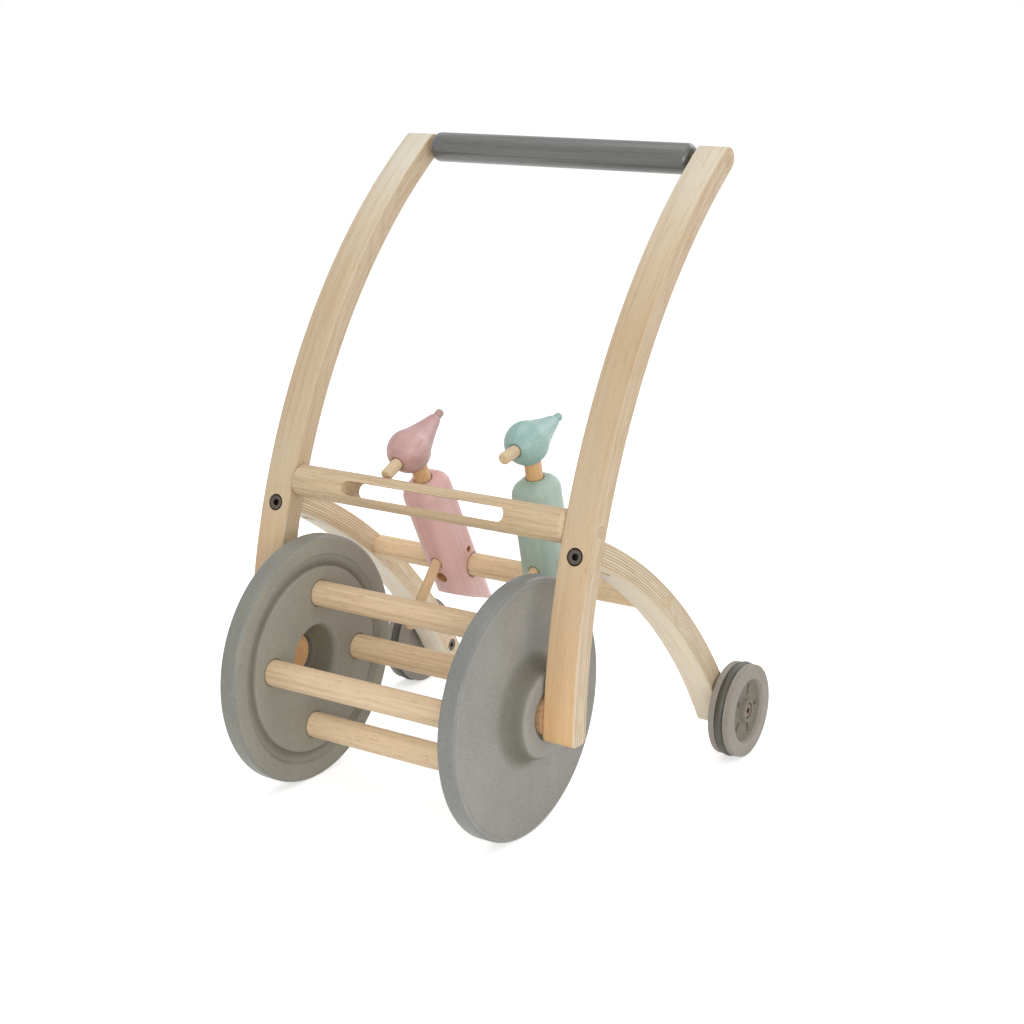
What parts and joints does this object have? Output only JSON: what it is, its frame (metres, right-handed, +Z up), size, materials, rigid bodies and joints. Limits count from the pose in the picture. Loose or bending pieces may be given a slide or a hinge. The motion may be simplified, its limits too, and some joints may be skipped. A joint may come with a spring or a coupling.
{
  "type": "baby push walker",
  "caption": "Wooden baby push walker with bent laminated side rails, a rolling rod drum in front and two pecking birds that tap a slotted log as it rolls",
  "frame": {"origin": "on the floor, at the middle of the outline's length and width", "axes": "+X to the side of the green bird, +Y to the rear where the child walks, +Z up"},
  "size_m": [0.322, 0.353, 0.4701],
  "materials": {
    "laminated_wood": "satin",
    "plain_wood": "satin",
    "dowel_wood": "satin",
    "grey_stained_wood": "satin",
    "pink_stained_wood": "satin",
    "dark_pink_wood": "satin",
    "green_stained_wood": "satin",
    "dark_green_wood": "satin",
    "grey_composite": "matte",
    "ring_rubber": "satin",
    "bush_plastic": "matte",
    "bronze_metal": "satin",
    "plated_steel": "satin"
  },
  "bodies": {
    "frame": {"left_side_rail": "laminated_wood", "right_side_rail": "laminated_wood", "handle_bar": "grey_stained_wood", "handle_dowels": "dowel_wood", "pecking_log": "plain_wood", "log_dowels": "dowel_wood", "left_rear_leg": "laminated_wood", "right_rear_leg": "laminated_wood", "leg_bolts": "bronze_metal", "leg_barrel_nuts": "plated_steel", "perch_rod": "plain_wood", "left_axle_stub": "plain_wood", "right_axle_stub": "plain_wood", "rear_axle_bolts": "bronze_metal", "rear_axle_sleeves": "bronze_metal"},
    "drum": {"left_front_wheel": "grey_composite", "right_front_wheel": "grey_composite", "left_hub_bush": "bush_plastic", "right_hub_bush": "bush_plastic", "drum_rod_top": "plain_wood", "drum_rod_rear": "plain_wood", "drum_rod_bottom": "plain_wood", "drum_rod_front": "plain_wood"},
    "left_rear_roller": {"left_rear_wheel": "grey_composite", "left_tyre_ring": "ring_rubber"},
    "right_rear_roller": {"right_rear_wheel": "grey_composite", "right_tyre_ring": "ring_rubber"},
    "pink_bird": {"pink_bird_body": "pink_stained_wood", "pink_bird_neck": "dowel_wood", "pink_bird_head": "pink_stained_wood", "pink_bird_crest": "dark_pink_wood", "pink_bird_beak": "dowel_wood", "pink_bird_peg": "dowel_wood"},
    "green_bird": {"green_bird_body": "green_stained_wood", "green_bird_neck": "dowel_wood", "green_bird_head": "green_stained_wood", "green_bird_crest": "dark_green_wood", "green_bird_beak": "dowel_wood", "green_bird_peg": "dowel_wood"}
  },
  "joints": [
    {"name": "drum_roll", "type": "hinge", "parent": "frame", "child": "drum", "pos_m": [0, -0.084, 0.0925], "axis": [1, 0, 0], "continuous": true},
    {"name": "left_rear_roll", "type": "hinge", "parent": "frame", "child": "left_rear_roller", "pos_m": [0.152, 0.1395, 0.037], "axis": [1, 0, 0], "continuous": true},
    {"name": "right_rear_roll", "type": "hinge", "parent": "frame", "child": "right_rear_roller", "pos_m": [-0.152, 0.1395, 0.037], "axis": [1, 0, 0], "continuous": true},
    {"name": "pink_bird_rock", "type": "hinge", "parent": "frame", "child": "pink_bird", "pos_m": [-0.043, 0.0368, 0.14698], "axis": [-1, 0, 0], "range_deg": [0, 30]},
    {"name": "green_bird_rock", "type": "hinge", "parent": "frame", "child": "green_bird", "pos_m": [0.043, 0.0368, 0.14698], "axis": [-1, 0, 0], "range_deg": [-13.7, 16.3]}
  ]
}
